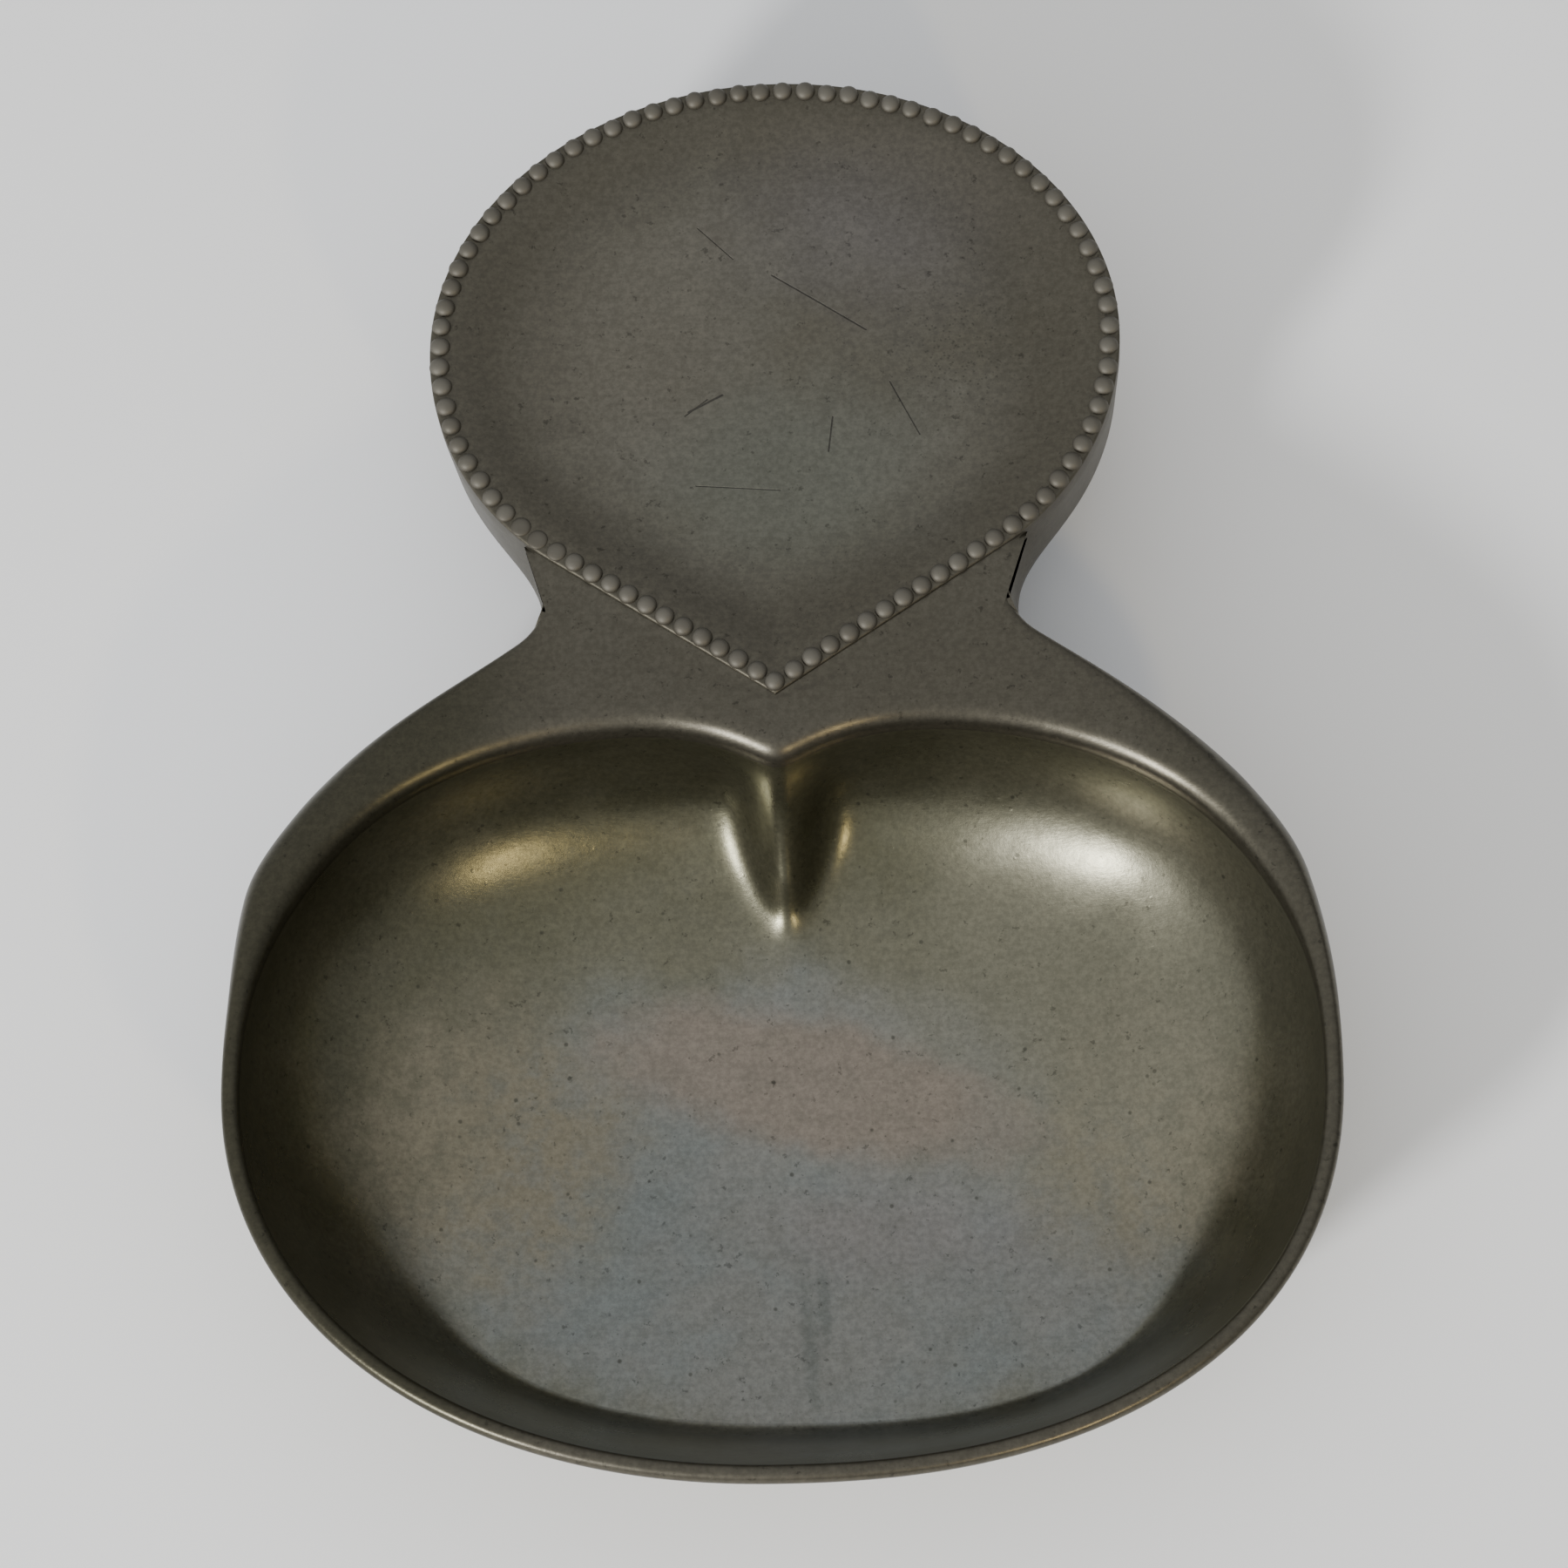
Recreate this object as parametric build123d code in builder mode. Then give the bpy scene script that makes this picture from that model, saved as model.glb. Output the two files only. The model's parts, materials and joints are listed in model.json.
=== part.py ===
from build123d import *
from math import asin, cos, degrees, exp, radians, sin
import os

# Pewter sauce boat: a heart-shaped bowl with a round, shallow handle plate edged with beads.
# Frame: X across, +Y towards the handle, +Z up. The origin is on the surface that the bowl
# stands on, under the middle of the overall length and width. Everything is in millimetres.

# ---- driving dimensions: bowl ----
OVERALL_LENGTH = 195.0
BOWL_WIDTH = 142.0
RIM_HEIGHT = 31.0
WALL = 1.8
FLOOR = 2.2
RIM_WIRE_RADIUS = 1.2
BOWL_CENTRE_Y = -44.0
BACK_REACH = 51.5
FRONT_EXPONENT = 2.25
BACK_EXPONENT = 2.6
INNER_CORNER_RUN = 25.0
OUTER_CORNER_RUN = 22.0
CORNER_EXPONENT = 2.15
CLEFT_AT_RIM = 6.2
CLEFT_SWELL = 3.6
CLEFT_WIDTH = 10.4
CLEFT_EXPONENT = 1.6

# ---- driving dimensions: handle ----
DISC_WIDTH = 92.8
DISC_CENTRE_Y = 58.0
SIDE_ARC_RADIUS = 37.9
POINT_SLOPE = 34.0
BEAD_RADIUS = 1.4
BEAD_HEIGHT = 1.0
BEAD_PITCH = 3.0
EDGE_BAND = 1.4
LEDGE_RISE = 0.5
LEDGE_INNER_BAND = 1.8
DISH_DEPTH = 2.0
DISH_SLOPE_RUN = 8.0
COLLAR_THICKNESS = 2.6

# ---- driving dimensions: neck, shoulders and skirt ----
NECK_RADIUS = 9.0
NECK_START_ANGLE = 49.0
SHOULDER_SLOPE = 35.0
SHOULDER_POINTS = [(51.5, 3.1), (61.5, -6.7), (68.4, -18.9)]
SHOULDER_NORMALS = [50.0, 38.0, 22.0]
SKIRT_WALL = 1.4
SKIRT_DROP = 12.0
SKIRT_TAIL_Y = -20.0
SKIRT_TAIL_DROP = 6.0

# ---- worked out from the driving dimensions ----
RIM_TOP = RIM_HEIGHT - RIM_WIRE_RADIUS
RIM_HALF_WIDTH = BOWL_WIDTH / 2 - RIM_WIRE_RADIUS
FRONT_REACH = OVERALL_LENGTH / 2 + BOWL_CENTRE_Y - RIM_WIRE_RADIUS
BEAD_SIDE_RADIUS = SIDE_ARC_RADIUS - EDGE_BAND
SIDE_ARC_CENTRE_X = DISC_WIDTH / 2 - SIDE_ARC_RADIUS
DISC_REACH = OVERALL_LENGTH / 2 - DISC_CENTRE_Y
LEDGE_TOP = RIM_HEIGHT + LEDGE_RISE
COLLAR_BOTTOM = RIM_HEIGHT - COLLAR_THICKNESS
BEAD_SPHERE_RADIUS = (BEAD_RADIUS**2 + BEAD_HEIGHT**2) / (2 * BEAD_HEIGHT)
BEAD_CUT_ANGLE = degrees(asin(1 - BEAD_HEIGHT / BEAD_SPHERE_RADIUS))

STATIONS = 9
STATION_CROWDING = 1.6
PROFILE_ANGLES = [0, 20, 40, 60, 80]


def half_outline(inset, cleft):
    """Points of the right half of one level outline, from the cleft round to the front."""

    def point(step, reach, exponent):
        turn = radians(90 * (step / STATIONS) ** STATION_CROWDING)
        fraction = (1 - sin(turn) ** exponent) ** (1 / exponent)
        return (RIM_HALF_WIDTH - inset) * sin(turn), (reach - inset) * fraction

    back_points = [point(step, BACK_REACH, BACK_EXPONENT) for step in range(STATIONS + 1)]
    front_points = [point(step, FRONT_REACH, FRONT_EXPONENT) for step in range(STATIONS)]
    back = [(x, BOWL_CENTRE_Y + y - cleft_dip(x, cleft)) for x, y in back_points]
    front = [(x, BOWL_CENTRE_Y - y) for x, y in reversed(front_points)]
    return back + front


def cleft_dip(x, cleft):
    """How far the cleft carries the outline forward at a distance x from the middle."""
    return cleft * exp(-((x / CLEFT_WIDTH) ** CLEFT_EXPONENT))


def half_face(inset, cleft):
    """Right half of one level of the bowl, closed along the middle line."""
    with BuildSketch() as face:
        with BuildLine():
            side = Spline(*half_outline(inset, cleft))
            Line(side @ 1, side @ 0)
        make_face()
    return face.sketch


def bowl_levels(top_inset, corner_run, bottom):
    """Height, inset and cleft of each level between the rim and a rounded bottom corner."""
    levels = []
    full_drop = sin(radians(PROFILE_ANGLES[-1])) ** (2 / CORNER_EXPONENT)
    for angle in PROFILE_ANGLES:
        drop = sin(radians(angle)) ** (2 / CORNER_EXPONENT) / full_drop
        run = 1 - cos(radians(angle)) ** (2 / CORNER_EXPONENT)
        cleft = (CLEFT_AT_RIM + CLEFT_SWELL * sin(radians(2 * angle))) * (1 - drop**4)
        levels.append((RIM_TOP - (RIM_TOP - bottom) * drop, top_inset + corner_run * run, cleft))
    return levels


def plate_face(growth):
    """Outline of the handle plate: a wide round disc drawn down to a point at the cleft.

    The outline runs through the bead centres and is moved outwards by growth.
    """
    slope = radians(POINT_SLOPE)
    radius = BEAD_SIDE_RADIUS + growth
    point_y = DISC_CENTRE_Y - (radius + SIDE_ARC_CENTRE_X * sin(slope)) / cos(slope)
    with BuildSketch() as face:
        with BuildLine():
            half_width = SIDE_ARC_CENTRE_X + radius
            reach = DISC_REACH - EDGE_BAND + growth
            EllipticalCenterArc((0, DISC_CENTRE_Y), half_width, reach, arc_size=90)
            side = CenterArc((SIDE_ARC_CENTRE_X, DISC_CENTRE_Y), radius, 0, POINT_SLOPE - 90)
            Line(side @ 1, (0, point_y))
            mirror(about=Plane.YZ)
        make_face()
    return face.sketch


def silhouette_face(inset):
    """Outer outline of the disc, the neck and the shoulders, closed straight across the bowl.

    The whole outline is moved inwards by inset.
    """
    start = radians(NECK_START_ANGLE)
    slope = radians(SHOULDER_SLOPE)
    reach = SIDE_ARC_RADIUS + NECK_RADIUS
    neck_centre = (SIDE_ARC_CENTRE_X + reach * cos(start), DISC_CENTRE_Y - reach * sin(start))
    neck_sweep = 90 + NECK_START_ANGLE - SHOULDER_SLOPE
    side_centre = (SIDE_ARC_CENTRE_X, DISC_CENTRE_Y)
    shoulder_points = [
        (x - inset * cos(radians(normal)), y - inset * sin(radians(normal)))
        for (x, y), normal in zip(SHOULDER_POINTS, SHOULDER_NORMALS)
    ]
    with BuildSketch() as face:
        with BuildLine():
            half_width = DISC_WIDTH / 2 - inset
            EllipticalCenterArc((0, DISC_CENTRE_Y), half_width, DISC_REACH - inset, arc_size=90)
            CenterArc(side_centre, SIDE_ARC_RADIUS - inset, 0, -NECK_START_ANGLE)
            neck = CenterArc(neck_centre, NECK_RADIUS + inset, 180 - NECK_START_ANGLE, neck_sweep)
            shoulder_end = (BOWL_WIDTH / 2 - inset, BOWL_CENTRE_Y)
            shoulder_tangents = [(cos(slope), -sin(slope)), (0, -1)]
            Spline(neck @ 1, *shoulder_points, shoulder_end, tangents=shoulder_tangents)
            Line(shoulder_end, (0, BOWL_CENTRE_Y))
            mirror(about=Plane.YZ)
        make_face()
    return face.sketch


def bowl_body(levels):
    """Solid that fills the bowl's levels, made as a right half and mirrored."""
    with BuildPart() as body:
        for height, inset, cleft in levels:
            with BuildSketch(Plane.XY.offset(height)):
                add(half_face(inset, cleft))
        loft()
        mirror(about=Plane.YZ)
    return body.part


# ---- bowl: the outer body, hollowed by an inner body that stands clear above the rim ----
outer_body = bowl_body(bowl_levels(-WALL / 2, OUTER_CORNER_RUN, 0))
mouth_level = (RIM_HEIGHT, WALL / 2, CLEFT_AT_RIM)
inner_body = bowl_body([mouth_level] + bowl_levels(WALL / 2, INNER_CORNER_RUN, FLOOR))

with BuildPart() as bowl:
    add(outer_body)
    add(inner_body, mode=Mode.SUBTRACT)
bowl.part.label = "bowl"

# ---- half-round wire on the free edge of the bowl, from one shoulder round the front ----
with BuildPart() as rim_wire:
    with BuildLine():
        edge_points = [(x, y, RIM_TOP) for x, y in half_outline(0, 0)[STATIONS:]]
        rim_edge = Spline(*edge_points, tangents=[(0, -1, 0), (-1, 0, 0)])
    with BuildSketch(Plane(origin=rim_edge @ 0, x_dir=(1, 0, 0), z_dir=(0, -1, 0))):
        with BuildLine():
            dome = CenterArc((0, 0), RIM_WIRE_RADIUS, 0, 180)
            Line(dome @ 1, dome @ 0)
        make_face()
    sweep()
    mirror(about=Plane.YZ)
rim_wire.part.label = "rim_wire"

# ---- handle plate: a flat disc with a soft dished middle ----
with BuildPart() as handle_plate:
    with BuildSketch(Plane.XY.offset(COLLAR_BOTTOM)):
        add(plate_face(EDGE_BAND))
    extrude(amount=LEDGE_TOP - COLLAR_BOTTOM)
    for growth, depth in [(0, 0), (-DISH_SLOPE_RUN / 3, DISH_DEPTH / 2), (-DISH_SLOPE_RUN, DISH_DEPTH)]:
        with BuildSketch(Plane.XY.offset(LEDGE_TOP - depth)):
            add(plate_face(growth - LEDGE_INNER_BAND))
    loft(ruled=True, mode=Mode.SUBTRACT)
handle_plate.part.label = "handle_plate"

# ---- collar: the flat neck plateau with the lip that follows the back of the bowl ----
with BuildPart() as shoulder_collar:
    with BuildSketch(Plane.XY.offset(COLLAR_BOTTOM)):
        add(silhouette_face(0))
        add(plate_face(EDGE_BAND), mode=Mode.SUBTRACT)
        mouth = half_face(WALL / 2, CLEFT_AT_RIM)
        add(mouth, mode=Mode.SUBTRACT)
        add(mouth.mirror(Plane.YZ), mode=Mode.SUBTRACT)
    extrude(amount=COLLAR_THICKNESS)
    add(outer_body, mode=Mode.SUBTRACT)
shoulder_collar.part.label = "shoulder_collar"

# ---- skirt: the side wall under the edge of the disc, the neck and the shoulders ----
with BuildPart() as handle_skirt:
    with BuildSketch(Plane.XY.offset(COLLAR_BOTTOM)):
        add(silhouette_face(0))
        add(silhouette_face(SKIRT_WALL), mode=Mode.SUBTRACT)
    extrude(amount=COLLAR_THICKNESS - SKIRT_DROP)
    split(bisect_by=Plane(origin=(0, SKIRT_TAIL_Y, 0), z_dir=(0, 1, 0)), keep=Keep.TOP)
    tail_rise = SKIRT_DROP - SKIRT_TAIL_DROP
    tail_run = DISC_CENTRE_Y - DISC_WIDTH / 2 - SKIRT_TAIL_Y
    tail_corner = (0, SKIRT_TAIL_Y, RIM_HEIGHT - SKIRT_TAIL_DROP)
    split(bisect_by=Plane(origin=tail_corner, z_dir=(0, tail_rise, tail_run)), keep=Keep.TOP)
    add(outer_body, mode=Mode.SUBTRACT)
handle_skirt.part.label = "handle_skirt"


# ---- beads: one at the point, a straight row up each leg, and the row round the disc ----
bead_line = plate_face(0)
left_leg, right_leg = bead_line.edges().filter_by(GeomType.LINE).sort_by(Axis.X)
disc_route = Wire(bead_line.edges().filter_by(GeomType.LINE, reverse=True))
point = bead_line.vertices().sort_by(Axis.Y)[0].center()

leg_count = round(right_leg.length / BEAD_PITCH)
disc_count = round(disc_route.length / BEAD_PITCH)


def write_bead_row(name, centres):
    """Low domed beads standing on the ledge, one separate solid at each centre."""
    with BuildPart(Plane.XY.offset(LEDGE_TOP)) as row:
        with Locations(*centres):
            base = (Align.CENTER, Align.CENTER, Align.MIN)
            Sphere(BEAD_SPHERE_RADIUS, arc_size1=BEAD_CUT_ANGLE, align=base)
    row.part.label = name
    export_step(row.part, f"parts/{name}.step")


os.makedirs("parts", exist_ok=True)
for piece in (bowl, rim_wire, handle_plate, shoulder_collar, handle_skirt):
    export_step(piece.part, f"parts/{piece.part.label}.step")

write_bead_row("point_bead", [point])
for name, leg in (("bead_leg_left", left_leg), ("bead_leg_right", right_leg)):
    write_bead_row(name, [leg @ (step / leg_count) for step in range(1, leg_count)])
write_bead_row("bead_arc", [disc_route @ (step / disc_count) for step in range(disc_count + 1)])
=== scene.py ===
import json
import math

import bpy
import numpy as np
from mathutils import Matrix, Vector

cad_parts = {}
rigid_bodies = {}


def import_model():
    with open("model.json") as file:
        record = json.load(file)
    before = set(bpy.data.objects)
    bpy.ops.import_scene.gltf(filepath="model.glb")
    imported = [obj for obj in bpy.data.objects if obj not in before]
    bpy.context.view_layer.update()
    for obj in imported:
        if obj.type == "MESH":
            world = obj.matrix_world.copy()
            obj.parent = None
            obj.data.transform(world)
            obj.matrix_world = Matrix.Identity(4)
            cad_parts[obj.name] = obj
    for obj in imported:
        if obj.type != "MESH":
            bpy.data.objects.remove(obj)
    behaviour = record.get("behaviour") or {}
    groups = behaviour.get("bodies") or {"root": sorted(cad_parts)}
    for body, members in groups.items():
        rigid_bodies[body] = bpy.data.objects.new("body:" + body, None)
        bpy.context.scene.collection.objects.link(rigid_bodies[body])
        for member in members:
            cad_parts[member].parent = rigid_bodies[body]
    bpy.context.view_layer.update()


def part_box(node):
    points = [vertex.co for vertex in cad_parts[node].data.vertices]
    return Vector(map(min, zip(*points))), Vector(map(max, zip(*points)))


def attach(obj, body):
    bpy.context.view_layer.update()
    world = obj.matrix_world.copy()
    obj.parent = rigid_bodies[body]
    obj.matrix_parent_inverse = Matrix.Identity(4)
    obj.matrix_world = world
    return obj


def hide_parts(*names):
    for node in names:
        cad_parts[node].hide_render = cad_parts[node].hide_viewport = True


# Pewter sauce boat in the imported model's frame: X across, +Y towards the handle, +Z up, metres.
# The bowl, its rim, the collar, the handle plate, the skirt and the beads are fine meshes that
# stand for the plain solids of the same pieces.

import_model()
MM = 0.001
TAU = 2 * math.pi
SHARP_ANGLE = math.radians(50)

# ---- sizes read from the frame ----
RIM_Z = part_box("shoulder_collar")[1][2]
COLLAR_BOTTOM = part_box("shoulder_collar")[0][2]
LEDGE_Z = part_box("handle_plate")[1][2]
BEAD_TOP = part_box("bead_arc")[1][2]
SKIRT_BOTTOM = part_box("handle_skirt")[0][2]
HALF_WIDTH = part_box("rim_wire")[1][0]
FRONT_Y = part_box("rim_wire")[0][1]
BOWL_CENTRE_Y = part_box("rim_wire")[1][1]
DISC_HALF_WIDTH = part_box("handle_plate")[1][0]
DISC_BACK_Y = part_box("handle_plate")[1][1]

# ---- bowl ----
WIRE_RADIUS = 1.2 * MM
RIM_HALF_WIDTH = HALF_WIDTH - WIRE_RADIUS
FRONT_REACH = BOWL_CENTRE_Y - FRONT_Y - WIRE_RADIUS
BACK_REACH = 51.5 * MM
FRONT_LEFT_EXPONENT = 2.12
FRONT_RIGHT_EXPONENT = 2.32
BACK_EXPONENT = 2.6
INNER_FLOOR_Z = 2.4 * MM
BACK_LIP_RADIUS = 3.4 * MM
WALL_FLATNESS = 3.5
WALL_POWER = 0.50
FRONT_WALL_RUN = 10.6 * MM
FRONT_CORNER = 12.0
FLOOR_DEPTH = 0.985
CLEFT_AT_RIM = 6.4 * MM
CLEFT_AT_MIDDLE = 9.0 * MM
CLEFT_WIDTH_AT_RIM = 8.5 * MM
CLEFT_WIDTH_AT_MIDDLE = 4.8 * MM
RIDGE_RADIUS = 2.6 * MM
SHOULDER_FALL = 3.8 * MM
LEFT_SHOULDER_SWELL = 1.1 * MM
RIGHT_SHOULDER_SWELL = 0.4 * MM
NECK_FALL = 1.8 * MM
NECK_CREST_X = (35.0 * MM, 26.0 * MM)
FLANGE_WIDTH = 4.6 * MM
FLANGE_STEP = 0.18 * MM
COLLAR_REACH = 0.5 * MM
BACK_POINTS = 200
FRONT_POINTS = 80
POINT_CROWDING = 1.25  # the points stand closer near the cleft
OUTER_WALL_ROWS = 34
OUTER_FLOOR_ROWS = 6
INNER_WALL_ROWS = 58
INNER_FLOOR_ROWS = 34
OUTER_STANDOFF = 0.8 * MM
FLOOR_CROWN_POWER = 4
WAVE_HEIGHT = 0.045 * MM
WIRE_SIDES = 20
WIRE_OVERLAP = 0.6 * MM

# ---- handle ----
DISC_CENTRE_Y = 58.0 * MM
POINT_SLOPE = math.radians(34.0)
EDGE_BAND = 1.4 * MM
SIDE_ARC_RADIUS = 37.9 * MM
SIDE_ARC_CENTRE_X = DISC_HALF_WIDTH - SIDE_ARC_RADIUS
BEAD_SIDE_RADIUS = SIDE_ARC_RADIUS - EDGE_BAND
BEAD_PITCH = 3.0 * MM
BEAD_RADIUS = 1.39 * MM
BEAD_SIDES = 20
BEAD_ROOT = 0.08 * MM
DISH_DEPTH = 1.9 * MM
DISH_RUN = 9.5 * MM
LEDGE_INNER = 1.4 * MM
EDGE_ROUNDING = (0.45 * MM, 0.4 * MM)
DISH_ROWS = 28
DISC_FLOOR_ROWS = 26
LEG_POINTS = 40
SIDE_POINTS = 46
TOP_POINTS = 64

# ---- skirt ----
SKIRT_WALL = 1.4 * MM
SKIRT_TOP_BAND = 1.2 * MM
SKIRT_EDGE = 0.5 * MM
SKIRT_START_Y = -20.0 * MM
SKIRT_START_DEPTH = 4.6 * MM
SKIRT_POINTS = 260
SKIRT_ROWS = 12
SKIRT_NECK_TOP = 0.4 * MM

# ---- neck and shoulders ----
NECK_RADIUS = 9.0 * MM
NECK_SOFTNESS = 8.0 * MM
NECK_POINTS = 30
SHOULDER_PIECE_POINTS = 24
LIP_ROWS = 13
COLLAR_ROWS = 26
COLLAR_UNDERSIDE_SHARE = 0.45
LEG_RISE = 0.03 * MM
NECK_START_ANGLE = math.radians(49.0)
SHOULDER_SLOPE = math.radians(35.0)
SHOULDER_POINTS = [(51.5 * MM, 3.1 * MM), (61.5 * MM, -6.7 * MM), (68.4 * MM, -18.9 * MM)]


def smoothstep(low, high, value):
    """0 below low, 1 above high and an even S between them."""
    t = np.clip((value - low) / (high - low), 0.0, 1.0)
    return t * t * (3 - 2 * t)


def mix(a, b, share):
    return a * (1 - share) + b * share


# ---- mesh building ----
def grid_mesh(name, rows, closed_rows=False, closed_columns=False, caps=False):
    """Quads between rows of points. caps closes the two ends of a strip with closed rows."""
    count = len(rows[0])
    points = np.concatenate(rows)
    faces = []
    row_pairs = list(zip(range(len(rows)), range(1, len(rows))))
    if closed_rows:
        row_pairs.append((len(rows) - 1, 0))
    columns = count if closed_columns else count - 1
    for low, high in row_pairs:
        for i in range(columns):
            j = (i + 1) % count
            faces.append((low * count + i, low * count + j, high * count + j, high * count + i))
    if caps:
        faces.append([row * count for row in range(len(rows))])
        faces.append([row * count + count - 1 for row in reversed(range(len(rows)))])
    return mesh_piece(name, points.tolist(), faces)


def mesh_piece(name, points, faces):
    """An object in the scene from points and faces."""
    mesh = bpy.data.meshes.new(name)
    mesh.from_pydata(points, [], faces)
    mesh.validate()
    piece = bpy.data.objects.new(name, mesh)
    bpy.context.scene.collection.objects.link(piece)
    return piece


def finish_piece(piece, slot, *nodes):
    """Smooth-shades a piece and hangs it on the body in place of its CAD nodes."""
    for polygon in piece.data.polygons:
        polygon.use_smooth = True
    piece.data.set_sharp_from_angle(angle=SHARP_ANGLE)
    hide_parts(*nodes)
    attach(piece, "root")
    return piece


def ring_rows(rings, heights):
    """Rows of 3-D points from plan rings and their heights (one number or one per point)."""
    rows = []
    for ring, height in zip(rings, heights):
        level = np.broadcast_to(np.asarray(height, float), (len(ring),))
        rows.append(np.column_stack([ring, level]))
    return rows


# ---- the heart-shaped line of the bowl ----
def heart_stations():
    """Turn, side and back flag of each point of the closed line, starting at the cleft."""
    back = np.linspace(0, 1, BACK_POINTS) ** POINT_CROWDING * math.pi / 2
    front = np.linspace(1, 0, FRONT_POINTS)[1:] * math.pi / 2
    turn = np.concatenate([back, front])
    is_back = np.concatenate([np.ones(len(back)), np.zeros(len(front))])
    turn = np.concatenate([turn, turn[-2:0:-1]])
    is_back = np.concatenate([is_back, is_back[-2:0:-1]])
    side = np.ones(len(turn))
    side[BACK_POINTS + FRONT_POINTS - 1:] = -1
    return turn, side, is_back > 0.5


TURN, SIDE, IS_BACK = heart_stations()


def heart_ring(share, inset, dip, roundness=0.0):
    """One ring of the bowl: share scales it towards the middle, inset moves it inwards.

    dip is the cleft's depth. Its nose is pointed at roundness 0 and round at 1.
    """
    front_exponent = np.where(SIDE < 0, FRONT_LEFT_EXPONENT, FRONT_RIGHT_EXPONENT)
    exponent = np.where(IS_BACK, BACK_EXPONENT, front_exponent)
    reach = np.where(IS_BACK, BACK_REACH, FRONT_REACH) - inset
    across = (RIM_HALF_WIDTH - inset) * np.sin(TURN)
    along = reach * np.clip(1 - np.sin(TURN) ** exponent, 0, 1) ** (1 / exponent)
    x = SIDE * across * share
    y = np.where(IS_BACK, 1, -1) * along * share
    off_middle = np.sqrt(x**2 + RIDGE_RADIUS**2) - RIDGE_RADIUS
    pointed = np.exp(-off_middle / CLEFT_WIDTH_AT_RIM)
    rounded = np.exp(-((x / CLEFT_WIDTH_AT_MIDDLE) ** 2))
    y = y - np.where(IS_BACK, dip * mix(pointed, rounded, roundness), 0)
    return np.column_stack([x, BOWL_CENTRE_Y + y])


CREST = heart_ring(1, 0, CLEFT_AT_RIM)
TOWARDS_BACK = smoothstep(-88 * MM, -24 * MM, CREST[:, 1])
FRONT_RUN_SHARE = FRONT_WALL_RUN / np.linalg.norm(CREST - [0, BOWL_CENTRE_Y], axis=1)
LIP_RADIUS = mix(
    WIRE_RADIUS,
    BACK_LIP_RADIUS,
    smoothstep(BOWL_CENTRE_Y, BOWL_CENTRE_Y + 34 * MM, CREST[:, 1]),
)


def hand_made(x, y):
    """Small slow unevenness of a hand-finished surface, at most about 0.15 mm."""
    u, v = x / MM, y / MM
    waves = np.sin(0.19 * u + 0.11 * v + 0.6) + np.sin(0.13 * v - 0.21 * u + 2.1)
    waves = waves + 0.7 * np.sin(0.34 * v + 0.05 * u) + 0.6 * np.sin(0.29 * u - 0.31 * v + 1.1)
    return WAVE_HEIGHT * waves


def wall_share(depth):
    """Share of the ring's size where the wall has gone down by this fraction of its depth.

    The front wall leans out evenly to a tight corner. The back wall runs out gently.
    """
    back = (1 - depth ** (1 / WALL_POWER)) ** (1 / WALL_FLATNESS)
    fall = max(depth, 1e-6) ** -FRONT_CORNER - 1
    front = 1 - FRONT_RUN_SHARE * fall ** (-1 / FRONT_CORNER)
    return mix(front, back, TOWARDS_BACK)


def wall_rows(depths, count):
    """Depth and share of each ring down the wall and in over the floor to the middle."""
    rows = [(depth, wall_share(depth)) for depth in depths]
    last_depth, last_share = rows[-1]
    for share in np.linspace(1, 0, count)[1:]:
        rows.append((1 - (1 - last_depth) * share**FLOOR_CROWN_POWER, last_share * share))
    return rows


def make_bowl():
    """The bowl: outer wall up from the base, over the top edge and down the inner wall."""
    edge_z = RIM_Z - WIRE_RADIUS
    rows = []
    outer_depths = np.linspace(0, FLOOR_DEPTH, OUTER_WALL_ROWS)
    for depth, share in wall_rows(outer_depths, OUTER_FLOOR_ROWS):
        dip = CLEFT_AT_RIM * (1 - smoothstep(0.55, 0.95, depth))
        height = edge_z * (1 - depth) * smoothstep(1.0, 0.9, depth)
        rows += ring_rows([heart_ring(share, -OUTER_STANDOFF, dip)], [height])
    rows.reverse()
    rows += ring_rows([heart_ring(1, 0.2 * LIP_RADIUS, CLEFT_AT_RIM)], [edge_z])

    lip_z = RIM_Z - LIP_RADIUS
    rows += ring_rows([heart_ring(1, 0.98 * LIP_RADIUS, CLEFT_AT_RIM)], [lip_z + 0.1 * LIP_RADIUS])
    inner_depths = FLOOR_DEPTH * np.sin(np.linspace(0, math.pi / 2, INNER_WALL_ROWS))
    for depth, share in wall_rows(inner_depths, INNER_FLOOR_ROWS):
        swell = smoothstep(0.0, 0.6, depth)
        fade = (1 - smoothstep(0.62, 1.15, depth)) * smoothstep(0.0, 0.45, share)
        dip = mix(CLEFT_AT_RIM, CLEFT_AT_MIDDLE, swell) * fade
        ring = heart_ring(share, LIP_RADIUS, dip, swell)
        wave = hand_made(ring[:, 0], ring[:, 1]) * smoothstep(0, 0.5, depth)
        rows += ring_rows([ring], [mix(lip_z, INNER_FLOOR_Z, depth) + wave])
    return finish_piece(grid_mesh("bowl_shell", rows, closed_columns=True), "bowl_pewter", "bowl")


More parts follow.
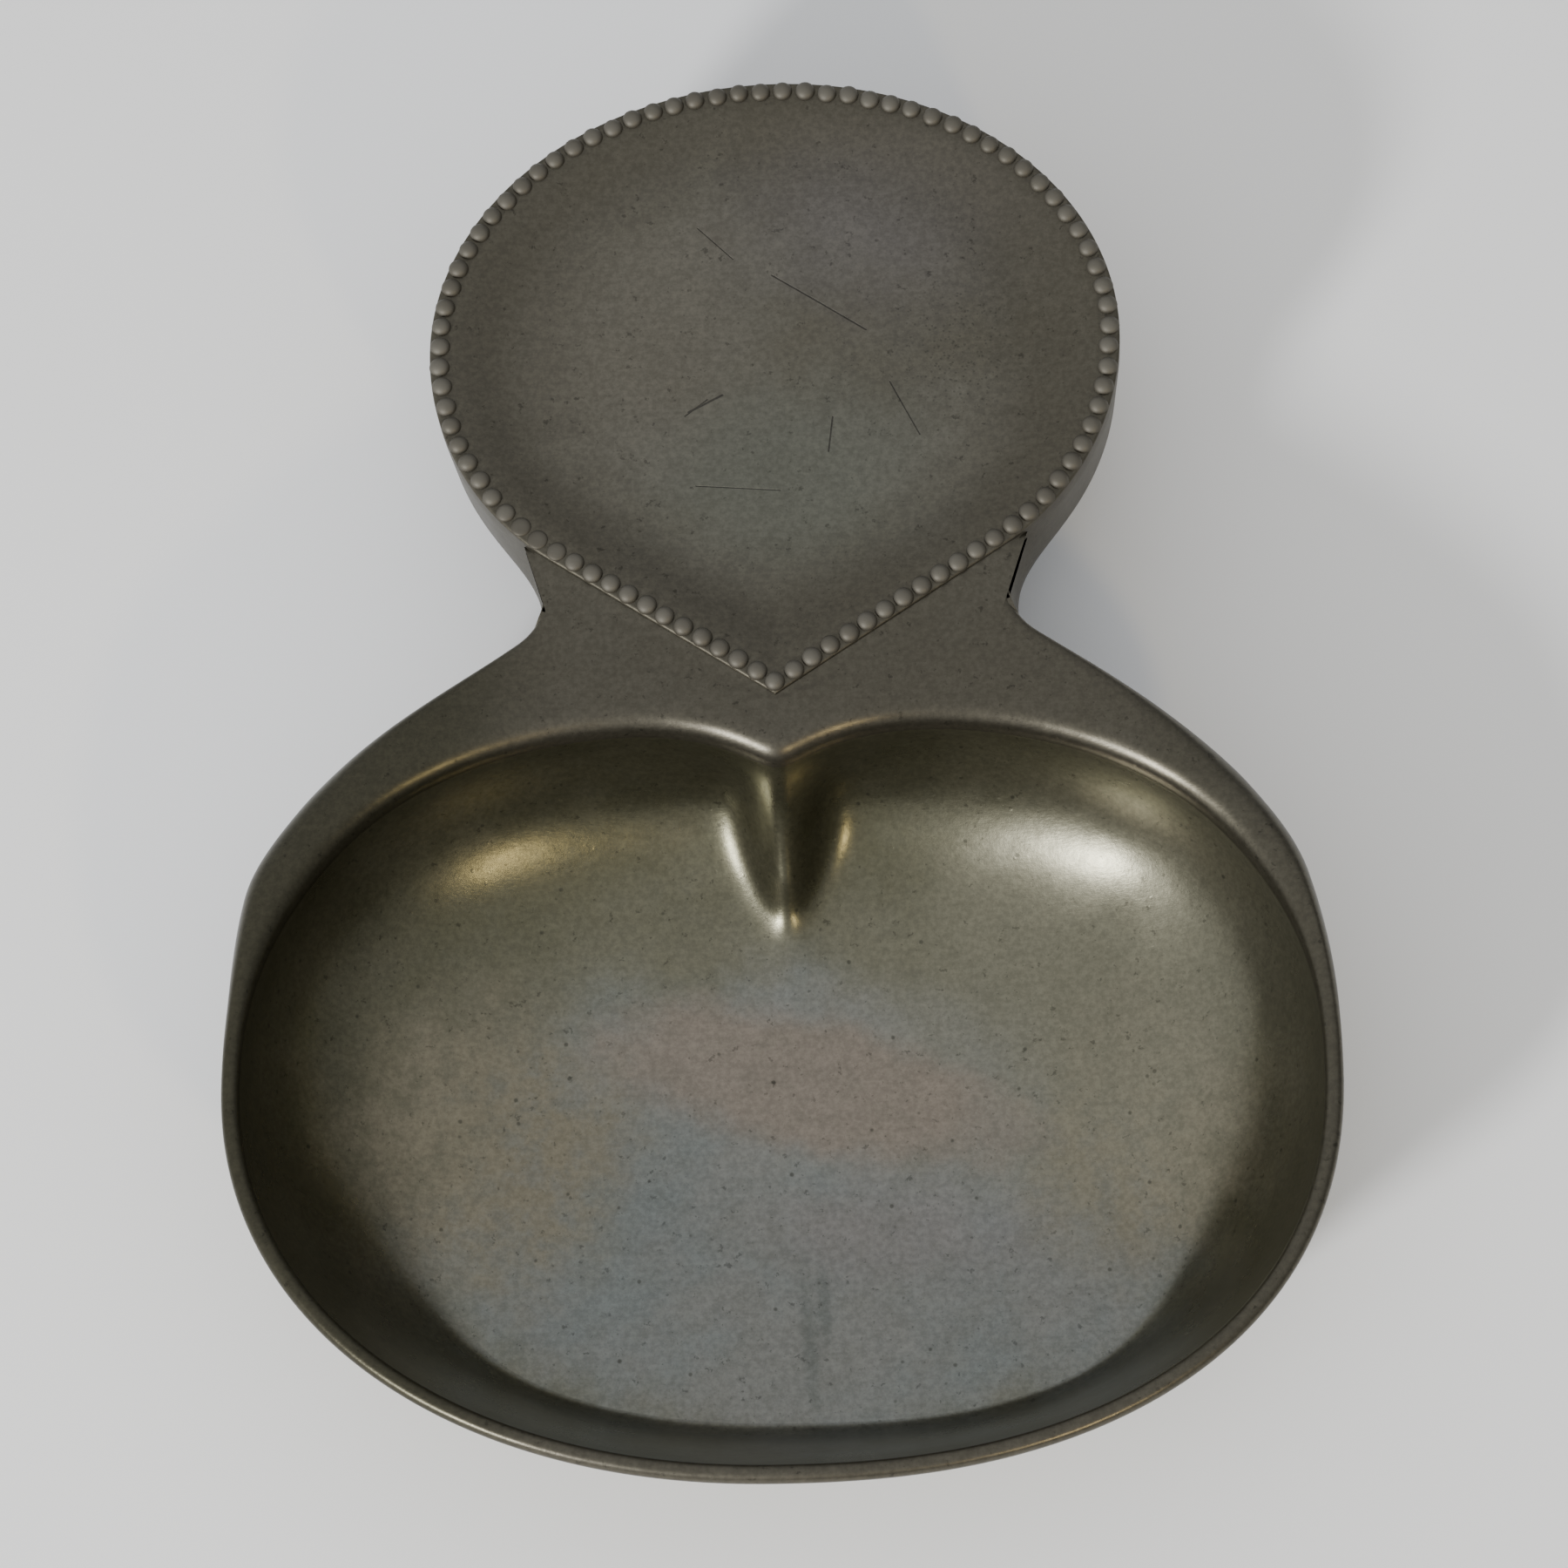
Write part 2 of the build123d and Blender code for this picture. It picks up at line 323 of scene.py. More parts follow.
# ---- round wire on the free edge ----
def make_rim_wire():
    """A closed tube along the crest, from one shoulder round the front to the other."""
    front = np.where(~IS_BACK)[0]
    line = CREST[front[0] - 1:front[-1] + 2]
    overlap = [0, WIRE_OVERLAP]
    line = np.concatenate([line[:1] + overlap, line, line[-1:] + overlap])
    along = np.gradient(line, axis=0)
    along /= np.linalg.norm(along, axis=1)[:, None]
    outward = np.column_stack([-along[:, 1], along[:, 0]])
    outward *= np.sign((outward * (line - [0, BOWL_CENTRE_Y])).sum(axis=1))[:, None]
    rows = []
    for angle in np.arange(0, TAU, TAU / WIRE_SIDES):
        reach = WIRE_RADIUS * math.cos(angle)
        ring = line + outward * reach
        rows += ring_rows([ring], [RIM_Z - WIRE_RADIUS + WIRE_RADIUS * math.sin(angle)])
    piece = grid_mesh("rim_wire_round", rows, closed_rows=True, caps=True)
    return finish_piece(piece, "bowl_pewter", "rim_wire")


# ---- outlines of the handle ----
def arc_points(centre, radius, start, end, count):
    """Points of an arc. radius is one number or (across, along)."""
    across, along = np.broadcast_to(radius, (2,))
    angle = np.linspace(start, end, count)
    return np.column_stack([centre[0] + across * np.cos(angle), centre[1] + along * np.sin(angle)])


def curve_points(points, start_tangent, end_tangent, count):
    """A smooth curve through points: cubic pieces with the given tangents at its ends."""
    points = np.array(points)
    steps = np.linalg.norm(np.diff(points, axis=0), axis=1)
    tangents = np.empty_like(points)
    tangents[0], tangents[-1] = start_tangent, end_tangent
    for i in range(1, len(points) - 1):
        chord = points[i + 1] - points[i - 1]
        tangents[i] = chord / np.linalg.norm(chord)
    pieces = []
    for i, step in enumerate(steps):
        t = np.linspace(0, 1, count)[:, None]
        pieces.append(
            (2 * t**3 - 3 * t**2 + 1) * points[i]
            + (t**3 - 2 * t**2 + t) * step * tangents[i]
            + (3 * t**2 - 2 * t**3) * points[i + 1]
            + (t**3 - t**2) * step * tangents[i + 1]
        )
    return np.concatenate([pieces[0]] + [piece[1:] for piece in pieces[1:]])


def plate_ring(growth):
    """The plate's outline moved outwards by growth, closed, starting at the point."""
    radius = BEAD_SIDE_RADIUS + growth
    point_y = DISC_CENTRE_Y - (
        radius + SIDE_ARC_CENTRE_X * math.sin(POINT_SLOPE)
    ) / math.cos(POINT_SLOPE)
    side_centre = (SIDE_ARC_CENTRE_X, DISC_CENTRE_Y)
    arc = arc_points(side_centre, radius, POINT_SLOPE - math.pi / 2, 0, SIDE_POINTS)
    reach = (SIDE_ARC_CENTRE_X + radius, DISC_BACK_Y - DISC_CENTRE_Y - EDGE_BAND + growth)
    top = arc_points((0, DISC_CENTRE_Y), reach, 0, math.pi / 2, TOP_POINTS)
    leg = np.linspace([0, point_y], arc[0], LEG_POINTS)
    half = np.concatenate([leg[:-1], arc[:-1], top])
    return np.concatenate([half, half[-2:0:-1] * [-1, 1]])


def shoulder_line():
    """Right-hand outline from the widest place of the bowl up the shoulder to the neck."""
    reach = SIDE_ARC_RADIUS + NECK_RADIUS
    neck_centre = np.array([
        SIDE_ARC_CENTRE_X + reach * math.cos(NECK_START_ANGLE),
        DISC_CENTRE_Y - reach * math.sin(NECK_START_ANGLE),
    ])
    neck_end = 1.5 * math.pi - SHOULDER_SLOPE
    neck = arc_points(neck_centre, NECK_RADIUS, neck_end, math.pi - NECK_START_ANGLE, NECK_POINTS)
    points = [(HALF_WIDTH, BOWL_CENTRE_Y)] + SHOULDER_POINTS[::-1] + [tuple(neck[0])]
    leaving = np.array([-math.cos(SHOULDER_SLOPE), math.sin(SHOULDER_SLOPE)])
    return curve_points(points, np.array([0, 1]), leaving, SHOULDER_PIECE_POINTS), neck


def lengths_along(points):
    """Distance of each point from the first, along the line."""
    return np.concatenate([[0], np.cumsum(np.linalg.norm(np.diff(points, axis=0), axis=1))])


def resample(points, distances):
    """Points of the line at these distances from its start."""
    along = lengths_along(points)
    return np.column_stack([np.interp(distances, along, points[:, k]) for k in range(2)])


# ---- collar: lip, neck plateau and rounded shoulders ----
SHOULDER, NECK = shoulder_line()
SHOULDER_END_Y = SHOULDER[-1][1]


def shoulder_drop(points):
    """How far the outer edge lies below the plateau: most on the shoulders, least at the neck."""
    y = points[:, 1]
    tail = smoothstep(BOWL_CENTRE_Y, -18 * MM, y)
    neck = smoothstep(2 * MM, SHOULDER_END_Y + 3 * MM, y)
    return mix(mix(WIRE_RADIUS, SHOULDER_FALL, tail), NECK_FALL, neck)


def collar_outer(crest_along, crest):
    """Points of the collar's outer edge that go with the crest's points, corners included."""
    leg = plate_ring(COLLAR_REACH)[:LEG_POINTS][::-1]
    leg = leg[leg[:, 0] < NECK[-1][0] - 0.5 * MM]
    path = np.concatenate([SHOULDER, NECK[1:], leg])
    path_along = lengths_along(path)
    shoulder_length = lengths_along(SHOULDER)[-1]
    neck_length = shoulder_length + lengths_along(NECK)[-1]
    inner_marks = [np.interp(-x, -crest[:, 0], crest_along) for x in NECK_CREST_X]
    knots = [0, inner_marks[0], inner_marks[1], crest_along[-1]]
    distances = np.interp(crest_along, knots, [0, shoulder_length, neck_length, path_along[-1]])
    for corner in (neck_length, neck_length + np.linalg.norm(leg[0] - NECK[-1])):
        distances[np.argmin(abs(distances - corner))] = corner
    on_leg = smoothstep(neck_length, neck_length + 3 * MM, distances)
    return resample(path, distances), on_leg


def mirrored(points):
    """A row of right-hand points continued through the middle to the left."""
    return np.concatenate([points, points[-2::-1] * [-1, 1, 1]])


def leaning_left(points, share=1.0):
    """The points with both shoulders moved to the left, the left one further."""
    x, y = points[:, 0], points[:, 1]
    along = smoothstep(BOWL_CENTRE_Y + 8 * MM, -14 * MM, y) * (1 - smoothstep(0, 14 * MM, y))
    moved = points.copy()
    moved[:, 0] = x - np.where(x < 0, LEFT_SHOULDER_SWELL, RIGHT_SHOULDER_SWELL) * along * share
    return moved


def on_neck(points):
    """1 on the neck's plateau, fading to 0 on the shoulders."""
    return 1 - smoothstep(30 * MM, 44 * MM, abs(points[:, 0]))


def make_collar():
    """A closed strip between the bowl's mouth and the outline of shoulders, neck and plate."""
    right = np.arange(BACK_POINTS)[::-1]
    crest = CREST[right]
    lip = LIP_RADIUS[right]
    crest_along = lengths_along(crest)
    outer, on_leg = collar_outer(crest_along, crest)
    drop = mix(shoulder_drop(outer), 0.0, on_leg)
    squareness = mix(2.0, 5.0, smoothstep(-4 * MM, SHOULDER_END_Y, outer[:, 1]))

    rows = []
    for turn in np.radians(np.linspace(90, 0, LIP_ROWS + 1)[:-1]):
        inset = LIP_RADIUS * math.sin(turn)
        ring = heart_ring(1, inset, CLEFT_AT_RIM)[right]
        rows += ring_rows([ring], [RIM_Z - lip + lip * math.cos(turn)])
    for turn in np.radians(np.linspace(0, 90, COLLAR_ROWS)):
        share = math.sin(turn) ** (2 / squareness)
        fall = 1 - np.clip(math.cos(turn), 0, 1) ** (2 / squareness)
        ring = crest + (outer - crest) * share[:, None]
        off_crest = np.linalg.norm(ring - crest, axis=1)
        flange = FLANGE_STEP * smoothstep(FLANGE_WIDTH, FLANGE_WIDTH + 1.4 * MM, off_crest)
        flange = flange * (1 - on_leg * smoothstep(0.7, 0.9, share)) - LEG_RISE * on_leg
        rows += ring_rows([ring], [RIM_Z - drop * fall - flange * on_neck(ring)])
    hidden = heart_ring(1, 0.3 * LIP_RADIUS, CLEFT_AT_RIM)[right]
    off_tail = smoothstep(BOWL_CENTRE_Y, BOWL_CENTRE_Y + 18 * MM, outer[:, 1])
    bottom = mix(RIM_Z - drop, np.minimum(RIM_Z - drop, COLLAR_BOTTOM), off_tail)
    rows += ring_rows([outer], [bottom])
    underside = crest + (outer - crest) * COLLAR_UNDERSIDE_SHARE
    rows += ring_rows([underside], [np.maximum(bottom, COLLAR_BOTTOM)])
    rows += ring_rows([hidden], [np.minimum(RIM_Z - lip, RIM_Z - WIRE_RADIUS)])
    top_shares = np.sin(np.linspace(0, math.pi / 2, COLLAR_ROWS))
    shares = [0] * LIP_ROWS + list(top_shares) + [1, 0.5, 0]
    rows = [leaning_left(mirrored(row), share) for row, share in zip(rows, shares)]
    piece = grid_mesh("shoulder_collar_lip", rows, closed_rows=True, caps=True)
    return finish_piece(piece, "handle_pewter", "shoulder_collar")


# ---- handle plate ----
def make_plate():
    """The dished plate: flat underside, upright edge, bead ledge, soft slope and floor."""
    round_in, round_up = EDGE_ROUNDING
    edge_steps = [(EDGE_BAND, COLLAR_BOTTOM), (EDGE_BAND, LEDGE_Z - round_up)]
    for turn in np.radians([20, 40, 60, 80, 90]):
        inset, rise = round_in * (1 - math.cos(turn)), round_up * math.sin(turn)
        edge_steps.append((EDGE_BAND - inset, LEDGE_Z - round_up + rise))
    ledge = [growth * MM for growth in (0.5, 0, -0.5, -1.0)] + [-LEDGE_INNER]
    edge_steps += [(growth, LEDGE_Z) for growth in ledge]
    for t in np.linspace(0.04, 1, DISH_ROWS):
        fall = DISH_DEPTH * smoothstep(0, 1, t**0.8)
        edge_steps.append((-LEDGE_INNER - DISH_RUN * t, LEDGE_Z - fall))
    rings = [plate_ring(growth) for growth, height in edge_steps]
    heights = [height for growth, height in edge_steps]
    centre = np.array([0, DISC_CENTRE_Y])
    floor_ring, floor_z = rings[-1], heights[-1]
    for share in np.linspace(1, 0, DISC_FLOOR_ROWS)[1:]:
        ring = centre + (floor_ring - centre) * share
        rings.append(ring)
        heights.append(floor_z + hand_made(ring[:, 0], ring[:, 1]) * (1 - share**4))
    under = [centre + (rings[0] - centre) * share for share in (0, 0.5)]
    rows = ring_rows(under, [COLLAR_BOTTOM, COLLAR_BOTTOM]) + ring_rows(rings, heights)
    piece = grid_mesh("handle_plate_dished", rows, closed_columns=True)
    return finish_piece(piece, "handle_pewter", "handle_plate")


# ---- skirt ----
def softened(line, reach):
    """The line with its bends eased over about this length, its ends kept."""
    along = lengths_along(line)
    weights = np.exp(-(((along[:, None] - along[None, :]) / reach) ** 2))
    eased = weights @ line / weights.sum(axis=1)[:, None]
    off_ends = smoothstep(0, 2 * reach, along) * smoothstep(0, 2 * reach, along[-1] - along)
    return mix(line, eased, off_ends[:, None])


def make_skirt():
    """The side wall below the disc, the neck and the shoulders."""
    shoulder = SHOULDER[SHOULDER[:, 1] > SKIRT_START_Y]
    side_centre = (SIDE_ARC_CENTRE_X, DISC_CENTRE_Y)
    arc = arc_points(side_centre, SIDE_ARC_RADIUS, -NECK_START_ANGLE, 0, 40)
    reach = (DISC_HALF_WIDTH, DISC_BACK_Y - DISC_CENTRE_Y)
    top = arc_points((0, DISC_CENTRE_Y), reach, 0, math.pi / 2, 80)
    half = np.concatenate([shoulder, NECK[1:], arc[1:], top[1:]])
    half = resample(half, np.linspace(0, lengths_along(half)[-1], SKIRT_POINTS))
    line = leaning_left(np.concatenate([half, half[-2::-1] * [-1, 1]]))
    along = np.gradient(line, axis=0)
    along /= np.linalg.norm(along, axis=1)[:, None]
    inward = np.column_stack([-along[:, 1], along[:, 0]])
    on_shoulder = 1 - smoothstep(SHOULDER_END_Y, SHOULDER_END_Y + 6 * MM, line[:, 1])
    outer_top = np.minimum(COLLAR_BOTTOM, RIM_Z - shoulder_drop(line) * on_shoulder)
    neck_end_y = NECK[-1][1]
    at_neck = smoothstep(SHOULDER_END_Y, SHOULDER_END_Y + 4 * MM, line[:, 1])
    at_neck = at_neck * (1 - smoothstep(neck_end_y + 1 * MM, neck_end_y + 5 * MM, line[:, 1]))
    outer_top = mix(outer_top, RIM_Z - SKIRT_NECK_TOP, at_neck)
    rise = 1 - smoothstep(-22 * MM, 12 * MM, line[:, 1])
    bottom = mix(SKIRT_BOTTOM, RIM_Z - SKIRT_START_DEPTH, rise)
    above_edge = bottom + SKIRT_EDGE
    soft = softened(line, NECK_SOFTNESS)
    rows = [np.column_stack([line + inward * SKIRT_TOP_BAND, outer_top])]
    for share in np.linspace(0, 1, SKIRT_ROWS):
        rows.append(np.column_stack([mix(line, soft, share), mix(outer_top, above_edge, share)]))
    for turn in np.radians([30, 60, 90, 120, 150]):
        inset = SKIRT_WALL / 2 * (1 - math.cos(turn))
        rows.append(np.column_stack([soft + inward * inset, above_edge - SKIRT_EDGE * math.sin(turn)]))
    for share in (0, 0.5, 1):
        inner = soft + inward * SKIRT_WALL
        rows.append(np.column_stack([inner, mix(above_edge, outer_top, share)]))
    piece = grid_mesh("handle_skirt_wall", rows, closed_rows=True, caps=True)
    return finish_piece(piece, "handle_pewter", "handle_skirt")


# ---- beads ----
def bead_mesh(name, centres, wear):
    """Round-topped beads, each its own small closed dome. wear flattens a bead from 0 to 1."""
    random = np.random.default_rng(len(centres) + 7)
    points, faces = [], []
    for centre, flat in zip(centres, wear):
        radius = BEAD_RADIUS * random.uniform(0.95, 1.0)
        height = mix(random.uniform(0.85, 0.99), 0.3, flat) * (BEAD_TOP - LEDGE_Z)
        shift = random.normal(0, 0.06 * MM, 2)
        start = len(points)
        levels = [(1.0, -BEAD_ROOT), (1.0, 0.0)]
        levels += [(math.cos(a), height * math.sin(a)) for a in np.radians([22, 42, 60, 75])]
        for share, z in levels:
            for turn in np.arange(0, TAU, TAU / BEAD_SIDES):
                x = centre[0] + shift[0] * share + radius * share * math.cos(turn)
                y = centre[1] + shift[1] * share + radius * share * math.sin(turn)
                points.append((x, y, LEDGE_Z + z))
        points.append((centre[0] + shift[0], centre[1] + shift[1], LEDGE_Z + height))
        for row in range(len(levels) - 1):
            for i in range(BEAD_SIDES):
                j = (i + 1) % BEAD_SIDES
                low, high = start + row * BEAD_SIDES, start + (row + 1) * BEAD_SIDES
                faces.append((low + i, low + j, high + j, high + i))
        last, top = start + (len(levels) - 1) * BEAD_SIDES, len(points) - 1
        faces += [(last + i, last + (i + 1) % BEAD_SIDES, top) for i in range(BEAD_SIDES)]
        faces.append([start + i for i in reversed(range(BEAD_SIDES))])
    return mesh_piece(name, points, faces)


def make_beads():
    """One bead at the point, a row up each leg and the row round the disc."""
    line = plate_ring(0)
    leg = line[:LEG_POINTS]
    leg_count = round(lengths_along(leg)[-1] / BEAD_PITCH)
    leg_distances = np.arange(1, leg_count) * lengths_along(leg)[-1] / leg_count
    right_leg = resample(leg, leg_distances)
    left_leg = right_leg * [-1, 1]
    disc = line[LEG_POINTS - 1:len(line) - LEG_POINTS + 2]
    disc_length = lengths_along(disc)[-1]
    disc_count = round(disc_length / BEAD_PITCH)
    arc = resample(disc, np.arange(disc_count + 1) * disc_length / disc_count)

    worn_corner = np.array([-31 * MM, 31 * MM])
    for name, centres, node in (
        ("point_bead_dome", leg[:1], "point_bead"),
        ("bead_leg_right_domes", right_leg, "bead_leg_right"),
        ("bead_leg_left_domes", left_leg, "bead_leg_left"),
        ("bead_arc_domes", arc, "bead_arc"),
    ):
        away = np.linalg.norm(centres - worn_corner, axis=1)
        wear = 0.95 * (1 - smoothstep(2.5 * MM, 9 * MM, away))
        finish_piece(bead_mesh(name, centres, wear), "bead_pewter", node)


# ---- materials ----
PATINA_METALLIC = 0.85
BEAD_METALLIC = 0.6


class Nodes:
    """Short calls for building one material's node tree."""

    def __init__(self, name):
        self.material = bpy.data.materials.new(name)
        self.material.use_nodes = True
        self.tree = self.material.node_tree
        self.tree.nodes.clear()
        place = self.add("ShaderNodeTexCoord").outputs["Object"]
        self.place = self.vector("SCALE", place, Scale=1 / MM)

    def add(self, kind, values=None, **settings):
        made = self.tree.nodes.new(kind)
        for key, value in settings.items():
            setattr(made, key, value)
        for key, value in (values or {}).items():
            if isinstance(value, bpy.types.NodeSocket):
                self.tree.links.new(value, made.inputs[key])
            else:
                made.inputs[key].default_value = value
        return made

    def math(self, operation, *values, clamp=False):
        made = self.add("ShaderNodeMath", dict(enumerate(values)), operation=operation)
        made.use_clamp = clamp
        return made.outputs[0]

    def vector(self, operation, *values, **named):
        inputs = dict(enumerate(values))
        inputs.update(named)
        made = self.add("ShaderNodeVectorMath", inputs, operation=operation)
        return made.outputs["Value" if operation in ("LENGTH", "DOT_PRODUCT") else "Vector"]

    def ramp(self, value, low, high, low_out=0.0, high_out=1.0):
        """value from low to high becomes low_out to high_out, smoothly."""
        values = {"Value": value, "From Min": low, "From Max": high}
        values.update({"To Min": low_out, "To Max": high_out})
        made = self.add("ShaderNodeMapRange", values, interpolation_type="SMOOTHSTEP")
        return made.outputs["Result"]

    def noise(self, scale, detail=4.0, roughness=0.55, offset=0.0, vector=None):
        """Noise whose features are about 1/scale millimetres across."""
        moved = self.vector("ADD", vector or self.place, (offset, offset * 1.7, offset * 0.6))
        values = {"Vector": moved, "Scale": scale, "Detail": detail, "Roughness": roughness}
        return self.add("ShaderNodeTexNoise", values).outputs["Fac"]

    def colour_mix(self, share, first, second, blend="MIX"):
        made = self.add("ShaderNodeMix", data_type="RGBA", blend_type=blend)
        for index, value in ((0, share), (6, first), (7, second)):
            if isinstance(value, bpy.types.NodeSocket):
                self.tree.links.new(value, made.inputs[index])
            else:
                made.inputs[index].default_value = value
        return made.outputs[2]

    def blob(self, centre, size, turn, softness, ragged, scale=0.12, offset=0.0):
        """1 inside a soft, ragged oval lying flat at centre (mm), 0 outside it."""
        c, s = math.cos(math.radians(turn)), math.sin(math.radians(turn))
        away = self.vector("SUBTRACT", self.place, (centre[0], centre[1], 0))
        across = self.vector("DOT_PRODUCT", away, (c / size[0], s / size[0], 0))
        along = self.vector("DOT_PRODUCT", away, (-s / size[1], c / size[1], 0))
        across = self.math("MULTIPLY", across, across)
        along = self.math("MULTIPLY", along, along)
        distance = self.math("SQRT", self.math("ADD", across, along))
        wobble = self.math("SUBTRACT", self.noise(scale, 5, 0.6, offset), 0.5)
        push = self.math("MULTIPLY", wobble, ragged)
        return self.ramp(self.math("ADD", distance, push), 1 + softness, 1 - softness)

    def scratch(self, start, end, width):
        """1 on a thin straight line between two plan points in mm, 0 off it."""
        start, end = Vector((*start, 0)), Vector((*end, 0))
        run = end - start
        flat = self.vector("MULTIPLY", self.place, (1, 1, 0))
        away = self.vector("SUBTRACT", flat, tuple(start))
        share = self.vector("DOT_PRODUCT", away, tuple(run / run.length_squared))
        share = self.math("MINIMUM", self.math("MAXIMUM", share, 0.0), 1.0)
        nearest = self.vector("SCALE", tuple(run), Scale=share)
        distance = self.vector("LENGTH", self.vector("SUBTRACT", away, nearest))
        return self.ramp(distance, width, width * 0.3)

    def speckles(self, scale, size, share, offset=0.0):
        """Sparse small round spots: share of the cells hold one."""
        moved = self.vector("ADD", self.place, (offset, offset, offset))
        cells = self.add("ShaderNodeTexVoronoi", {"Vector": moved, "Scale": scale, "Randomness": 1.0})
        spot = self.ramp(cells.outputs["Distance"], size, size * 0.4)
        draw = self.add("ShaderNodeSeparateColor", {"Color": cells.outputs["Color"]}).outputs[0]
        return self.math("MULTIPLY", spot, self.math("LESS_THAN", draw, share))

    def part_of_place(self, axis):
        """One coordinate in mm: 0 across, 1 along, 2 up."""
        return self.add("ShaderNodeSeparateXYZ", {"Vector": self.place}).outputs[axis]

    def clouded(self, cloud, first, second, high=0.65):
        """Two colours blended by a soft cloud."""
        return self.colour_mix(self.ramp(cloud, 0.35, high), first, second)

    def painted(self, colour, share, tint, strength=1.0):
        """The colour with a tint laid over it where share is 1."""
        if strength != 1.0:
            share = self.math("MULTIPLY", share, strength)
        return self.colour_mix(share, colour, tint)


def rgb(red, green, blue):
    return (red, green, blue, 1.0)


def grained(nodes, colour):
    """The colour with fine grain, short brushed streaks and a few darker flecks."""
    grain = nodes.ramp(nodes.noise(1.3, 5, 0.7, 13.0), 0.32, 0.70, 0.84, 1.14)
    streaks = nodes.add("ShaderNodeMapping", {"Vector": nodes.place, "Scale": (0.10, 1.7, 1.0)})
    streaks.inputs["Rotation"].default_value = (0, 0, math.radians(-38))
    streak = nodes.ramp(nodes.noise(1.0, 4, 0.6, 29.0, streaks.outputs[0]), 0.3, 0.7, 0.97, 1.03)
    flecks = nodes.ramp(nodes.noise(0.8, 3, 0.7, 37.0), 0.70, 0.62, 0.62, 1.0)
    tone = nodes.math("MULTIPLY", nodes.math("MULTIPLY", grain, streak), flecks)
    return nodes.vector("SCALE", colour, Scale=tone)


def finish_material(nodes, colour, rough, height, metallic=PATINA_METALLIC):
    """The shader: one surface with its colour, roughness and relief (height in mm)."""
    bump = nodes.add("ShaderNodeBump", {"Strength": 1.0, "Distance": MM, "Height": height})
    shader = nodes.add("ShaderNodeBsdfPrincipled", {
        "Base Color": colour, "Roughness": rough, "Metallic": metallic, "Normal": bump.outputs[0]})
    output = nodes.add("ShaderNodeOutputMaterial")
    nodes.tree.links.new(shader.outputs[0], output.inputs[0])
    return nodes.material


def fine_relief(nodes):
    """Height in mm of the cast and worn surface: soft waves, grain, strokes and small pits."""
    waves = nodes.math("MULTIPLY", nodes.noise(0.14, 2, 0.5, 3.0), 0.08)
    grain = nodes.math("MULTIPLY", nodes.noise(2.2, 4, 0.6, 9.0), 0.014)
    total = nodes.math("ADD", waves, grain)
    for turn, offset in ((24, 1.0), (-52, 40.0)):
        brushed = nodes.add("ShaderNodeMapping", {"Vector": nodes.place, "Scale": (0.22, 4.5, 1.0)})
        brushed.inputs["Rotation"].default_value = (0, 0, math.radians(turn))
        strokes = nodes.noise(1.0, 5, 0.7, offset, brushed.outputs[0])
        total = nodes.math("ADD", total, nodes.math("MULTIPLY", strokes, 0.006))
    pits = nodes.math("MULTIPLY", nodes.speckles(0.5, 0.16, 0.30, 4.0), -0.012)
    return nodes.math("ADD", total, pits)


